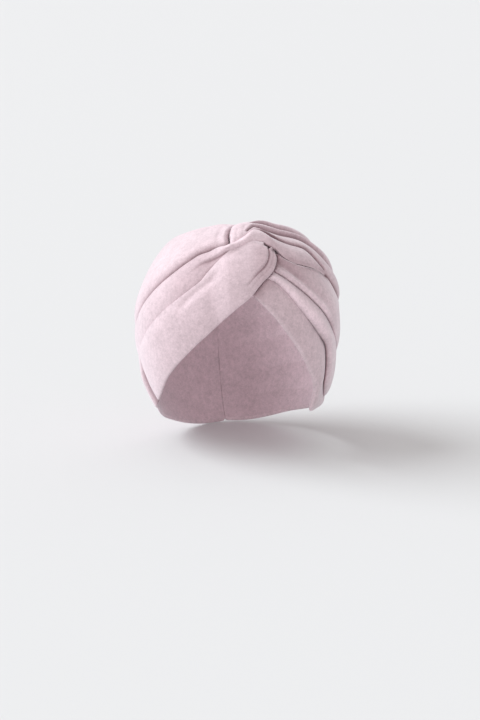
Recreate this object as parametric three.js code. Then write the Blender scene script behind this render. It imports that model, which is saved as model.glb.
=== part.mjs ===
// Turban headband in its worn form. Two pleated halves of velvet meet in a seam at the back
// and cross in a twist over the forehead. Millimetres, +Z up, the twist faces -Y.
// Origin: the middle of the head it is worn on, at the widest level. Left is -X.

import * as THREE from 'three';

const HEAD = { halfWidth: 75, halfDepth: 88, above: 75, below: 130 };
const BAND_TILT = 30;
const WALL = 2.6;
const HEAD_GAP = 0.3;
const LAYER_GAP = 0.7;
const SEAM_GAP = 0.3;
const FOLD_STEP = 0.65;
const EDGE_DROP = 1.1;
const HOLLOW_SHARE = 0.8;
const VELVET = { color: 0xcfb6c0, roughness: 0.92, metalness: 0 };

// Places on the head: turn is degrees round the tilted band axis, from 0 at the twist to
// 180 at the back seam, less than 0 past the twist. Rise is degrees above the band's middle.
// Each row is one cut across the half; each column is an edge or the line of a fold.

const LEFT_FOLDS = [
  { turn: 180, low: -32, middle: -11, slit: 0, crown: 30 },
  { turn: 150, low: -37, middle: -13, slit: -1, crown: 35 },
  { turn: 120, low: -42.5, middle: -14, slit: -1.5, crown: 41 },
  { turn: 94, low: -43.5, middle: -13.5, slit: -1.1, crown: 45 },
  { turn: 70, low: -39.8, middle: -11.8, slit: 2.3, crown: 46 },
  { turn: 50, low: -34.8, middle: -7.4, slit: 9, crown: 43.5 },
  { turn: 42, low: -32, middle: -4, slit: 11.4, crown: 42 },
  { turn: 36, low: -29.6, middle: 1.8, slit: 13.2, crown: 41.5 },
  { turn: 30, low: -27, middle: 6, slit: 15, crown: 40.8 },
  { turn: 22, low: -22.6, middle: 9.2, slit: 16.8, crown: 38.8 },
  { turn: 15, low: -18.5, middle: 11.8, slit: 17.4, crown: 36.6 },
  { turn: 9, low: -14.8, middle: 14.2, slit: 19.7, crown: 27.6 },
  { turn: 4.5, low: -11.4, middle: 17.2, slit: 22.7, crown: 31 },
  { turn: 0.5, low: -7, middle: 19.2, slit: 26.2, crown: 34 },
  { turn: -2, low: -4.5, middle: 19.4, slit: 30, crown: 35 },
  { turn: -5, low: -1.9, middle: 18.6, slit: 29.5, crown: 35 },
  { turn: -8, low: 1.8, middle: 16.4, slit: 25.3, crown: 35 },
  { turn: -9.7, low: 5.3, middle: 15.2, slit: 23.7, crown: 35 },
  { turn: -10.8, low: 9.1, middle: 14.2, slit: 23, crown: 35 },
  { turn: -11.1, low: 11.6, middle: 13.9, slit: 22.8, crown: 35 },
  { turn: -15.7, low: 8, middle: 8.9, slit: 20.8, crown: 35 },
  { turn: -24, low: 4, middle: 5.2, slit: 18.4, crown: 35 },
  { turn: -33, low: 3, middle: 4.5, slit: 16.4, crown: 35 },
  { turn: -41.7, low: 2, middle: 3.6, slit: 7.7, crown: 35 },
  { turn: -47, low: 1, middle: 2.1, slit: 4, crown: 35 },
];

const RIGHT_FOLDS = [
  { turn: 180, low: -32, first: -23, second: -12, slit: 0, fourth: 11, fifth: 21, crown: 30 },
  { turn: 150, low: -36, first: -27, second: -15, slit: 0, fourth: 13, fifth: 25, crown: 35 },
  { turn: 124, low: -43.8, first: -36, second: -20, slit: -0.5, fourth: 15, fifth: 29, crown: 40.5 },
  { turn: 103, low: -50, first: -43.5, second: -25, slit: -2, fourth: 15, fifth: 31, crown: 44 },
  { turn: 86, low: -56.8, first: -50.5, second: -28, slit: -4.5, fourth: 12, fifth: 31, crown: 46 },
  { turn: 72, low: -61.5, first: -49.3, second: -28.5, slit: -4.5, fourth: 9.5, fifth: 30.5, crown: 46 },
  { turn: 60, low: -54.5, first: -41.2, second: -26, slit: -2, fourth: 11.5, fifth: 30.5, crown: 45.5 },
  { turn: 50, low: -50.5, first: -32.8, second: -22.5, slit: 2, fourth: 16.3, fifth: 31.5, crown: 45 },
  { turn: 41.7, low: -47.3, first: -29.6, second: -19, slit: 6.9, fourth: 23, fifth: 33.4, crown: 43.7 },
  { turn: 33, low: -42.6, first: -25.8, second: -15.2, slit: 15.7, fourth: 25.6, fifth: 32.4, crown: 41.7 },
  { turn: 22.5, low: -35.8, first: -19.3, second: -9.3, slit: 18, fourth: 24.3, fifth: 31.5, crown: 40.3 },
  { turn: 13.7, low: -28.8, first: -11.7, second: -3.7, slit: 20.8, fourth: 24.8, fifth: 32.5, crown: 39.4 },
  { turn: 8.5, low: -24, first: -6.5, second: -1, slit: 23.8, fourth: 27, fifth: 34.6, crown: 38.8 },
  { turn: 5.5, low: -21.1, first: -3.6, second: 0.6, slit: 28.3, fourth: 31, fifth: 35.2, crown: 38.4 },
  { turn: 2, low: -17.7, first: -1.5, second: 2, slit: 29, fourth: 32.4, fifth: 35.2, crown: 37.5 },
  { turn: -0.6, low: -15.2, first: -0.8, second: 2.6, slit: 26.4, fourth: 30.4, fifth: 33.6, crown: 36.6 },
  { turn: -5, low: -10.2, first: 0, second: 4, slit: 21.4, fourth: 26, fifth: 30, crown: 34 },
  { turn: -9.3, low: -2, first: 4, second: 7.5, slit: 18.7, fourth: 22.6, fifth: 26, crown: 29.8 },
  { turn: -12.2, low: 5, first: 8, second: 10.5, slit: 16.8, fourth: 19, fifth: 20.8, crown: 22.8 },
  { turn: -12.9, low: 8, first: 10.4, second: 12.4, slit: 16.3, fourth: 17.6, fifth: 18.6, crown: 19.6 },
];

// How far each half stands off the head at the ears, from its low edge to its crown edge.
const STAND_OFF = {
  left: [
    { share: 1, height: 0 },
    { share: 0.76, height: 0 },
    { share: 0.57, height: 2.8 },
    { share: 0.42, height: 5.5 },
    { share: 0.3, height: 6 },
    { share: 0, height: 6 },
  ],
  right: [
    { share: 1, height: 0.5 },
    { share: 0.75, height: 2.6 },
    { share: 0.55, height: 3.4 },
    { share: 0.3, height: 3.6 },
    { share: 0, height: 3.6 },
  ],
};

// Pleats from the low edge up. Heights are above the wall; peak is where the roll is fullest
// and fall is how fast it flattens above that. Rows are the cuts along it. An edge that dives
// under its neighbour starts a step away.
const LEFT_PLEATS = [
  {
    from: 'low', to: 'middle', fromStep: 0, toStep: 0,
    lowEdge: 0.2, crest: 1.8, highEdge: 1.5, peak: 0.72, fall: 1,
    rows: [0, 0.05, 0.12, 0.2, 0.3, 0.42, 0.56, 0.7, 0.84, 0.95, 1],
  },
  {
    from: 'middle', to: 'slit', fromStep: FOLD_STEP, toStep: 0,
    lowEdge: 0, crest: 3, highEdge: 2.4, peak: 0.65, fall: 1,
    rows: [0, 0.18, 0.4, 0.65, 0.88, 1],
  },
  {
    from: 'slit', to: 'crown', fromStep: FOLD_STEP, toStep: 0,
    lowEdge: 0, crest: 3.2, highEdge: 0.6, peak: 0.2, fall: 8,
    rows: [0, 0.14, 0.3, 0.48, 0.68, 0.88, 1],
  },
];

const RIGHT_PLEATS = [
  {
    from: 'low', to: 'first', fromStep: 0, toStep: FOLD_STEP,
    lowEdge: 0.6, crest: 1.6, highEdge: 0, peak: 0.4, fall: 1,
    rows: [0, 0.08, 0.3, 0.6, 0.85, 1],
  },
  {
    from: 'first', to: 'second', fromStep: 0, toStep: FOLD_STEP,
    lowEdge: 2, crest: 2.8, highEdge: 0, peak: 0.4, fall: 1,
    rows: [0, 0.14, 0.4, 0.7, 1],
  },
  {
    from: 'second', to: 'slit', fromStep: 0, toStep: 0,
    lowEdge: 2.2, crest: 3, highEdge: 1.6, peak: 0.35, fall: 1,
    rows: [0, 0.08, 0.2, 0.34, 0.46, 0.58, 0.7, 0.85, 1],
  },
  {
    from: 'slit', to: 'fourth', fromStep: FOLD_STEP, toStep: FOLD_STEP,
    lowEdge: 0, crest: 2.4, highEdge: 0.2, peak: 0.4, fall: 1,
    rows: [0, 0.35, 0.7, 1],
  },
  {
    from: 'fourth', to: 'fifth', fromStep: 0, toStep: 0,
    lowEdge: 1.2, crest: 2.8, highEdge: 2.2, peak: 0.55, fall: 1,
    rows: [0, 0.25, 0.55, 0.85, 1],
  },
  {
    from: 'fifth', to: 'crown', fromStep: FOLD_STEP, toStep: 0,
    lowEdge: 0, crest: 2.2, highEdge: 0.4, peak: 0.5, fall: 1,
    rows: [0, 0.3, 0.6, 0.9, 1],
  },
];

// Cuts round each half: from one turn to the next in a number of steps.
const LEFT_CUTS = [
  { from: 180, to: 96, steps: 8 },
  { from: 96, to: 36, steps: 11 },
  { from: 36, to: 17.6, steps: 5 },
  { from: 17.6, to: 14.8, steps: 2 },
  { from: 14.8, to: -2, steps: 8 },
  { from: -2, to: -8, steps: 4 },
  { from: -8, to: -11.1, steps: 4 },
  { from: -11.1, to: -47, steps: 11 },
];
const RIGHT_CUTS = [
  { from: 180, to: 102, steps: 8 },
  { from: 102, to: 50, steps: 9 },
  { from: 50, to: 14, steps: 10 },
  { from: 14, to: -5, steps: 9 },
  { from: -5, to: -12.9, steps: 5 },
];
const SLIT_END = 14.8;
const UPPER_PRONG_END = 0.5;
const TONGUE_END = -11.1;
const RIGHT_END = -12.9;
const STRIP_TIP = 47;

// The tongue's nested folds, measured in from its rounded edge.
const TONGUE = { rimAt: 6.5, rimDepth: 1.5, rimWidth: 1.2, nibAt: 2.9, nibDepth: 0.5, nibWidth: 0.8, swell: 1.4 };
const TIP = { bulge: 2.2, fullAt: -1, goneAt: 3.5, clear: 1.8 };
const ROLLED_RIM = { turn: 16, height: 1.4, width: 1.1 };

const rad = THREE.MathUtils.degToRad;
const clamp = THREE.MathUtils.clamp;
const mix = THREE.MathUtils.lerp;
const FRONT = new THREE.Vector3(0, -Math.cos(rad(BAND_TILT)), Math.sin(rad(BAND_TILT)));
const SIDE = new THREE.Vector3(1, 0, 0);
const POLE = new THREE.Vector3(0, Math.sin(rad(BAND_TILT)), Math.cos(rad(BAND_TILT)));

function ease(value, start, end) {
  const t = clamp((value - start) / (end - start), 0, 1);
  return t * t * (3 - 2 * t);
}

function bump(value, centre, width) {
  return Math.exp(-(((value - centre) / width) ** 2));
}

// A point over the head: across is signed turn, + to the right; height is above the head.
function place(across, rise, height) {
  const level = Math.cos(rad(rise));
  const ray = new THREE.Vector3()
    .addScaledVector(FRONT, level * Math.cos(rad(across)))
    .addScaledVector(SIDE, level * Math.sin(rad(across)))
    .addScaledVector(POLE, Math.sin(rad(rise)));
  const halfHeight = ray.z > 0 ? HEAD.above : HEAD.below;
  const reach = 1 / Math.hypot(ray.x / HEAD.halfWidth, ray.y / HEAD.halfDepth, ray.z / halfHeight);
  return ray.multiplyScalar(reach + height);
}

// A smooth curve through one column of a table, without overshoot.
function along(rows, column, at, key = 'turn') {
  const last = rows.length - 1;
  let k = 0;
  while (k < last - 1 && at < rows[k + 1][key]) k += 1;
  const slope = (n) => (rows[n + 1][column] - rows[n][column]) / (rows[n + 1][key] - rows[n][key]);
  const tangent = (n) => {
    if (n === 0) return slope(0);
    if (n === last) return slope(last - 1);
    const product = slope(n - 1) * slope(n);
    return product <= 0 ? 0 : (2 * product) / (slope(n - 1) + slope(n));
  };
  const span = rows[k + 1][key] - rows[k][key];
  const t = clamp((at - rows[k][key]) / span, 0, 1);
  const a = rows[k][column];
  const b = rows[k + 1][column];
  const bend = span * t * (1 - t) * ((1 - t) * tangent(k) - t * tangent(k + 1));
  return mix(a, b, t * t * (3 - 2 * t)) + bend;
}

function standOff(side, folds, turn, rise) {
  const low = along(folds, 'low', turn);
  const share = clamp((rise - low) / (along(folds, 'crown', turn) - low), 0, 1);
  const ears = ease(turn, 15, 75) * (1 - 0.8 * ease(turn, 100, 165));
  return ears * along(STAND_OFF[side], 'height', share, 'share');
}

function fullness(turn) {
  return 1 - 0.7 * ease(turn, 95, 170);
}

function roll(s, { crest, peak, fall }, lowEdge, highEdge) {
  if (s < peak) return mix(lowEdge, crest, Math.sin((0.5 * Math.PI * s) / peak));
  return mix(highEdge, crest, Math.cos((0.5 * Math.PI * (s - peak)) / (1 - peak)) ** fall);
}

// The lower prong of the left half lies over the right half. Its edge runs round the tongue,
// along the strip to its tip and back over the crest to the slit.
function prongSpan(across) {
  const column = across > -TONGUE_END ? 'middle' : 'low';
  return [along(LEFT_FOLDS, column, -across), along(LEFT_FOLDS, 'slit', -across)];
}

const prongEdge = [];
for (let across = -SLIT_END; across <= STRIP_TIP; across += 0.3) {
  for (const rise of prongSpan(across)) prongEdge.push(place(across, rise, WALL));
}
const tongueEdge = [];
for (let across = -SLIT_END; across <= -TONGUE_END; across += 0.15) {
  tongueEdge.push(place(across, along(LEFT_FOLDS, 'low', -across), WALL));
}

function nearest(points, across, rise) {
  const here = place(across, rise, WALL);
  return Math.min(...points.map((point) => point.distanceTo(here)));
}

// 1 under the lower prong, falling to 0 a little way outside its edge.
function covered(across, rise) {
  if (across < -SLIT_END - 6 || across > STRIP_TIP + 6) return 0;
  const [low, high] = prongSpan(across);
  if (across > -SLIT_END && across < STRIP_TIP && rise > low && rise < high) return 1;
  return 1 - ease(nearest(prongEdge, across, rise), 2.5, 6.5);
}

// The right half climbs through the slit and lies over the left half's upper prong.
function rightLift(turn, rise) {
  const slit = along(RIGHT_FOLDS, 'slit', turn);
  const over = along(RIGHT_FOLDS, 'fourth', turn);
  return (WALL + LAYER_GAP) * ease(rise, slit, over) * (1 - ease(turn, 5, 24));
}

function rightFloor(turn, rise) {
  return HEAD_GAP + standOff('right', RIGHT_FOLDS, turn, rise) + rightLift(turn, rise);
}

function rightHeights(turn, rise, pleat, s) {
  const aboveSlit = ['slit', 'fourth', 'fifth'].includes(pleat.from);
  const shown = fullness(turn) * (1 - covered(turn, rise)) * (aboveSlit ? ease(turn, 3, 10) : 1);
  const start = along(RIGHT_FOLDS, 'slit', turn) + TIP.clear;
  const share = clamp((rise - start) / (along(RIGHT_FOLDS, 'crown', turn) - start), 0, 1);
  const tip = TIP.bulge * (1 - ease(turn, TIP.fullAt, TIP.goneAt)) * Math.sin(Math.PI * share ** 0.8);
  const floor = rightFloor(turn, rise);
  const relief = shown * roll(s, pleat, pleat.lowEdge, pleat.highEdge) + tip;
  const hollow = HOLLOW_SHARE * shown * pleat.crest * Math.sin(Math.PI * s);
  return { inner: floor + hollow, outer: floor + WALL + relief };
}

function leftLower(turn, rise, pleat, s) {
  const over = 1 - ease(turn, 14, 26);
  const rest = HEAD_GAP + standOff('left', LEFT_FOLDS, turn, rise);
  const floor = over > 0 ? mix(rest, rightFloor(-turn, rise) + WALL + LAYER_GAP, over) : rest;
  const past = 1 - ease(turn, -3, 2);
  const isStrip = pleat.from === 'middle';
  const lowEdge = isStrip ? mix(pleat.lowEdge, 2, past) : pleat.lowEdge;
  const highEdge = isStrip ? mix(pleat.highEdge, 1.8, past) : mix(pleat.highEdge, 0, past);
  const leaf = isStrip ? 1 - 0.45 * (1 - ease(turn, -44, -14)) : 1;
  let relief = fullness(turn) * leaf * roll(s, pleat, lowEdge, highEdge);
  if (!isStrip && turn < 12) {
    const inward = nearest(tongueEdge, -turn, rise);
    const near = 1 - ease(turn, -2, 9);
    const swell = TONGUE.swell * ease(inward, TONGUE.rimAt, 2 * TONGUE.rimAt);
    const rim = TONGUE.rimDepth * bump(inward, TONGUE.rimAt, TONGUE.rimWidth);
    const nib = TONGUE.nibDepth * bump(inward, TONGUE.nibAt, TONGUE.nibWidth);
    relief += near * (swell - rim - nib);
  }
  const hollow = HOLLOW_SHARE * fullness(turn) * leaf * pleat.crest * Math.sin(Math.PI * s) * (1 - over);
  return { inner: floor + hollow, outer: floor + WALL + Math.max(relief, 0) };
}

function leftUpper(turn, rise, pleat, s) {
  const floor = HEAD_GAP + standOff('left', LEFT_FOLDS, turn, rise);
  const free = fullness(turn) * ease(turn, 14, 15.6);
  const rim = ROLLED_RIM.height * bump(turn, ROLLED_RIM.turn, ROLLED_RIM.width) * free;
  const relief = free * roll(s, pleat, pleat.lowEdge, pleat.highEdge);
  const hollow = HOLLOW_SHARE * relief * ease(turn, 16, 22);
  return { inner: floor + hollow, outer: floor + WALL + relief + rim * Math.sin(Math.PI * s) };
}

// Where the upper prong starts: above the right half's climb through the slit.
function slitTop(turn) {
  const slit = along(LEFT_FOLDS, 'slit', turn) + FOLD_STEP;
  if (turn >= SLIT_END) return slit;
  const clear = along(RIGHT_FOLDS, 'fourth', Math.max(-turn, RIGHT_END)) + 0.8;
  return mix(slit, Math.max(slit, clear), ease(turn, SLIT_END, 12.9));
}

function cuts(spans) {
  const list = [spans[0].from - (0.5 * SEAM_GAP) / rad(HEAD.halfDepth)];
  for (const { from, to, steps } of spans) {
    for (let n = 1; n <= steps; n += 1) list.push(mix(from, to, n / steps));
  }
  return list;
}

function rowsOf(pleats) {
  return pleats.flatMap((pleat, order) => pleat.rows.map((s) => ({ pleat, s, order })));
}

function pleatRise(folds, row, turn) {
  const upper = row.pleat.from === 'slit' && folds === LEFT_FOLDS;
  const start = upper ? slitTop(turn) : along(folds, row.pleat.from, turn) + row.pleat.fromStep;
  const end = along(folds, row.pleat.to, turn) - row.pleat.toStep;
  return mix(start, end, row.s);
}

// A closed wall from a grid of outer and inner points; cells that are absent are left open.
function wallFromGrid(outer, inner, present) {
  const position = [];
  const index = [];
  const number = new Map();
  const vertex = (layer, i, j) => {
    const key = `${layer},${i},${j}`;
    if (!number.has(key)) {
      number.set(key, position.length / 3);
      const point = layer === 0 ? outer[i][j] : inner[i][j];
      position.push(point.x, point.y, point.z);
    }
    return number.get(key);
  };
  const quad = (a, b, c, d) => index.push(a, b, c, a, c, d);
  for (let i = 0; i + 1 < outer.length; i += 1) {
    for (let j = 0; j + 1 < outer[i].length; j += 1) {
      if (!present(i, j)) continue;
      const corners = [[i, j], [i + 1, j], [i + 1, j + 1], [i, j + 1]];
      const top = corners.map(([r, c]) => vertex(0, r, c));
      const under = corners.map(([r, c]) => vertex(1, r, c));
      quad(top[0], top[1], top[2], top[3]);
      quad(under[3], under[2], under[1], under[0]);
      const beside = [[i, j - 1], [i + 1, j], [i, j + 1], [i - 1, j]];
      beside.forEach(([r, c], side) => {
        if (present(r, c)) return;
        const next = (side + 1) % 4;
        quad(top[next], top[side], under[side], under[next]);
      });
    }
  }
  const geometry = new THREE.BufferGeometry();
  geometry.setAttribute('position', new THREE.Float32BufferAttribute(position, 3));
  geometry.setIndex(index);
  geometry.computeVertexNormals();
  return geometry;
}

function half(name, sign, folds, rows, turns, heights, within) {
  const present = (i, j) => i >= 0 && j >= 0 && i + 1 < rows.length && j + 1 < turns.length && within(i, j);
  const onEdge = (i, j) => ![[0, 0], [-1, 0], [0, -1], [-1, -1]].every(([r, c]) => present(i + r, j + c));
  const outer = [];
  const inner = [];
  rows.forEach((row, i) => {
    const points = turns.map((turn, j) => {
      const rise = pleatRise(folds, row, turn);
      const height = heights(turn, rise, row.pleat, row.s);
      const drop = onEdge(i, j) && j > 0 ? EDGE_DROP : 0;
      return {
        top: place(sign * turn, rise, height.outer - drop),
        under: place(sign * turn, rise, height.inner),
      };
    });
    outer.push(points.map((point) => point.top));
    inner.push(points.map((point) => point.under));
  });
  const geometry = wallFromGrid(outer, inner, present);
  if (sign < 0) {
    const flipped = geometry.getIndex().array;
    for (let n = 0; n < flipped.length; n += 3) [flipped[n], flipped[n + 1]] = [flipped[n + 1], flipped[n]];
    geometry.computeVertexNormals();
  }
  const velvet = new THREE.MeshStandardMaterial({ ...VELVET, name: 'velvet' });
  const mesh = new THREE.Mesh(geometry, velvet);
  mesh.name = name;
  return mesh;
}

const leftRows = rowsOf(LEFT_PLEATS);
const leftTurns = cuts(LEFT_CUTS);
const leftHeights = (turn, rise, pleat, s) =>
  (pleat.from === 'slit' ? leftUpper : leftLower)(turn, rise, pleat, s);
const inLeft = (i, j) => {
  const until = leftTurns[j + 1];
  const upper = leftRows[i].order === 2;
  const slot = leftRows[i].order === 1 && leftRows[i + 1].order === 2;
  const tongue = leftRows[i].order === 0;
  if (slot) return until > SLIT_END - 0.01;
  if (upper) return until > UPPER_PRONG_END - 0.01;
  return !tongue || until > TONGUE_END - 0.01;
};

const headband = new THREE.Group();
headband.name = 'turban_headband';
headband.add(half('left_band', -1, LEFT_FOLDS, leftRows, leftTurns, leftHeights, inLeft));
headband.add(half(
  'right_band', 1, RIGHT_FOLDS, rowsOf(RIGHT_PLEATS), cuts(RIGHT_CUTS), rightHeights, () => true,
));

export default headband;
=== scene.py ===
# %% [markdown]
# # A velvet turban headband
#
# The headband is two pleated halves of soft velvet. They are sewn together at the back
# and cross in a twist at the front. The plain model has both halves as thin solids.
# In this lesson each half becomes cloth: folds that really overlap, rounded edges, small
# gathers, and a velvet finish. Everything stays in the plain model's own frame.

import bpy
import numpy as np
from mathutils import Matrix, Vector


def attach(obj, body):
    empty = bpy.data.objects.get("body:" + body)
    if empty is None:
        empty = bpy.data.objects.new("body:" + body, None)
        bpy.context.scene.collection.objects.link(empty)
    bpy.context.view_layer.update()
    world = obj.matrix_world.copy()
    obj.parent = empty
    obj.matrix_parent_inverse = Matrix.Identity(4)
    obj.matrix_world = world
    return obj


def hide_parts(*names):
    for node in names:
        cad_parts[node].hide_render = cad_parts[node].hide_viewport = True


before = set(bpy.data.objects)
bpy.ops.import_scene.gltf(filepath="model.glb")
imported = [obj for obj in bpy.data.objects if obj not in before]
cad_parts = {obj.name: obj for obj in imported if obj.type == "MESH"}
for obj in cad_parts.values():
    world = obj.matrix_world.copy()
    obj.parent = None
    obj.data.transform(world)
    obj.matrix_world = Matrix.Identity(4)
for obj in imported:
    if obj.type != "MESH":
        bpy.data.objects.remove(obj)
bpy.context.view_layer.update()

# %% [markdown]
# ## Places on an oval form
#
# A worn headband follows an oval form, so its points are easiest to give as places on one:
# how far round the band from the twist, how far up, and how high above the form. Typed-in
# coordinates would do too, but then moving one fold means changing hundreds of numbers. The
# band sits tilted back, so "round" and "up" are measured on a tilted axis. One function
# turns a place into a point. Sizes are millimetres until the mesh is made.

# %% The oval form
FORM_HALF_WIDTH = 75.0
FORM_HALF_DEPTH = 88.0
FORM_ABOVE = 75.0
FORM_BELOW = 130.0
TILT = np.radians(30)
FRONT = np.array([0, -np.cos(TILT), np.sin(TILT)])
SIDE = np.array([1.0, 0, 0])
POLE = np.array([0, np.sin(TILT), np.cos(TILT)])


def place(across, rise, height):
    across, rise, height = np.broadcast_arrays(across, rise, height)
    level = np.cos(np.radians(rise))
    ray = (level * np.cos(np.radians(across)))[..., None] * FRONT
    ray = ray + (level * np.sin(np.radians(across)))[..., None] * SIDE
    ray = ray + np.sin(np.radians(rise))[..., None] * POLE
    half_height = np.where(ray[..., 2] > 0, FORM_ABOVE, FORM_BELOW)
    spread = (ray[..., 0] / FORM_HALF_WIDTH) ** 2 + (ray[..., 1] / FORM_HALF_DEPTH) ** 2
    reach = 1 / np.sqrt(spread + (ray[..., 2] / half_height) ** 2)
    return ray * (reach + height)[..., None]


print("the twist lies round", np.round(place(0, 10, 3), 1))

# %% [markdown]
# ## Fold tables
#
# Each half is described by cuts across it. A row gives the turn from the twist, and where
# the two edges and the fold lines lie at that cut. A curve that never overshoots joins the
# rows, so a fold stays between its neighbours. The left half forks at its slit: above it is
# a short upper prong, below it the tongue and the strip that crosses to the right.

# %% Curves through a table


def table(header, rows):
    """Columns by name; the first one counts down."""
    return dict(zip(header.split(), np.array(rows, float).T))


def along(rows, column, at, key="turn"):
    """A column of a table, read between its rows without overshooting."""
    x, y = rows[key], rows[column]
    at = np.asarray(at, float)
    slope = np.diff(y) / np.diff(x)
    both = slope[:-1] * slope[1:]
    total = np.where(both > 0, slope[:-1] + slope[1:], 1)
    inside = np.where(both > 0, 2 * both / total, 0)
    tangent = np.concatenate([slope[:1], inside, slope[-1:]])
    k = np.clip(np.searchsorted(-x, -at) - 1, 0, len(x) - 2)
    span = x[k + 1] - x[k]
    t = np.clip((at - x[k]) / span, 0, 1)
    bend = span * t * (1 - t) * ((1 - t) * tangent[k] - t * tangent[k + 1])
    return y[k] + (y[k + 1] - y[k]) * t * t * (3 - 2 * t) + bend


def ease(value, start, end):
    t = np.clip((np.asarray(value, float) - start) / (end - start), 0, 1)
    return t * t * (3 - 2 * t)


def mix(a, b, share):
    return a + (b - a) * share


def between(value, comes, goes):
    """1 between two spans, 0 outside them, soft across each span."""
    return ease(value, *comes) * (1 - ease(value, *goes))


def bump(value, centre, width):
    return np.exp(-(((value - centre) / width) ** 2))


def quarter(value):
    """A quarter circle: steep at 0, level from 1 on."""
    return np.sqrt(1 - (1 - np.clip(value, 0, 1)) ** 2)


print("an ease is", float(ease(0.5, 0, 1)), "halfway, a quarter circle", round(float(quarter(0.5)), 2))

# %% Folds of the left half
LEFT = table("turn low middle slit crown", [
    (180, -32, -11, 0, 30),
    (150, -37, -15, -4, 35),
    (120, -42.5, -18, -6.2, 41),
    (94, -43.5, -18, -5.4, 45),
    (70, -39.8, -14.2, 0.2, 46),
    (50, -34.8, -8.7, 7.6, 43.8),
    (42, -32, -6, 10.8, 43.2),
    (36, -29.6, -3.5, 13.2, 42.8),
    (30, -27, -0.4, 15.6, 42.2),
    (26, -24.8, 3.6, 16, 41.4),
    (22, -22.6, 7.1, 16.2, 40.6),
    (18, -20.3, 9.9, 15.6, 39.6),
    (15, -18.5, 11.8, 15.1, 38.6),
    (12, -16.6, 13.1, 16, 37.6),
    (9, -14.8, 14.3, 17.5, 36.6),
    (4.5, -11.4, 16.3, 20.6, 36.4),
    (0.5, -7, 18, 24.2, 35),
    (-2, -4.5, 18.4, 26, 35),
    (-5, -1.9, 18, 25.6, 35),
    (-8, 1.8, 16.2, 23.8, 35),
    (-9.7, 5.3, 15.2, 22.7, 35),
    (-10.8, 9.1, 14.2, 22, 35),
    (-11.1, 11.6, 13.9, 21.8, 35),
    (-15.7, 8, 8.8, 20.9, 35),
    (-24, 4, 6.3, 19.1, 35),
    (-33, 3, 6.1, 18.4, 35),
    (-41.7, 2, 5.2, 11.2, 35),
    (-47, 1, 4.2, 6.2, 35),
])
print("left half:", len(LEFT["turn"]), "cuts,", len(LEFT) - 1, "lines")

# %% Folds of the right half
RIGHT = table("turn low first second slit fourth fifth crown", [
    (180, -32, -23, -12, 0, 11, 21, 30),
    (150, -36, -27, -15, 0, 13, 25, 35),
    (124, -43.8, -36, -20, -0.5, 15, 29, 40.5),
    (103, -50, -43.5, -25, -2, 15, 31, 44),
    (86, -56.8, -50.5, -28, -4.5, 12, 31, 46),
    (72, -61.5, -49, -27.4, -4.5, 12, 30.5, 46),
    (60, -54.5, -40.6, -24.3, -2, 15.5, 30.5, 45.5),
    (50, -50.5, -32.2, -20.2, 2, 21, 31.5, 45),
    (41.7, -47.3, -28.9, -16.6, 6.9, 27, 33.2, 43.8),
    (33, -42.6, -25, -12.8, 14.4, 28.6, 33.6, 42.4),
    (22.5, -35.8, -18.8, -7.3, 16.8, 28.4, 33.6, 41.4),
    (13.7, -28.8, -11, -2, 19, 28, 34.2, 40.4),
    (8.5, -24, -6.2, 0.8, 21.2, 28.6, 34.6, 37.9),
    (5.5, -21.1, -4.6, 1.8, 24, 29.8, 34.2, 36.8),
    (2, -17.7, -3, 2.5, 24.6, 30, 33.8, 36.2),
    (-0.6, -15.2, -2, 2.9, 22.6, 28.4, 32.8, 36),
    (-5, -10.2, 0, 4, 19, 25, 30, 35),
    (-9.3, -2, 4, 7.5, 16, 22, 27.2, 33),
    (-11.5, 5, 8, 10.5, 14.4, 19, 24, 29.6),
    (-12.8, 8, 10.4, 12.4, 13.8, 17.2, 20.6, 24.4),
])
print("right half:", len(RIGHT["turn"]), "cuts,", len(RIGHT) - 1, "lines")

# %% [markdown]
# ## How the halves lie on the form and on each other
#
# At the sides the cloth stands off the form a little. The right half climbs through the slit
# of the left half and lies over its upper prong, while the lower prong lies over the right
# half. Where one half covers the other, the lower one is pressed flat.

# %% Heights that both halves share
WALL = 2.6
FORM_GAP = 0.3
LAYER_GAP = 0.7
OFF_GROWS, OFF_SHRINKS, OFF_LOST = (15, 75), (100, 165), 0.8
FLATTENS, FLATTENED = (95, 170), 0.7
CLIMB_LEAD, CLIMB_FADES = 4, (5, 24)
LEFT_OFF = table("share height", [(1, 0), (0.76, 0), (0.57, 2.8), (0.42, 5.5), (0.3, 6), (0, 6)])
RIGHT_OFF = table("share height", [
    (1, 0.5), (0.85, 2.4), (0.72, 4.0), (0.6, 3.8), (0.48, 2.2), (0.3, 3.2), (0, 3.6)])


def stand_off(heights, folds, turn, rise):
    """How far the cloth stands off the form at the sides."""
    low, crown = along(folds, "low", turn), along(folds, "crown", turn)
    share = np.clip((rise - low) / (crown - low), 0, 1)
    sides = ease(turn, *OFF_GROWS) * (1 - OFF_LOST * ease(turn, *OFF_SHRINKS))
    return sides * along(heights, "height", share, "share")


def fullness(turn):
    """How full a pleat is; pleats flatten towards the back seam."""
    return 1 - FLATTENED * ease(turn, *FLATTENS)


def right_floor(turn, rise):
    """Height of the right half's underside, which climbs through the slit."""
    slit, over = along(RIGHT, "slit", turn), along(RIGHT, "fourth", turn)
    share = (rise - slit + CLIMB_LEAD) / (over - slit + CLIMB_LEAD)
    climb = (WALL + LAYER_GAP) * ease(share, 0, 1) * (1 - ease(turn, *CLIMB_FADES))
    return FORM_GAP + stand_off(RIGHT_OFF, RIGHT, turn, rise) + climb


print("at the side the left half stands off", np.round(stand_off(LEFT_OFF, LEFT, 80.0, -35.0), 1), "mm")

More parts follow.
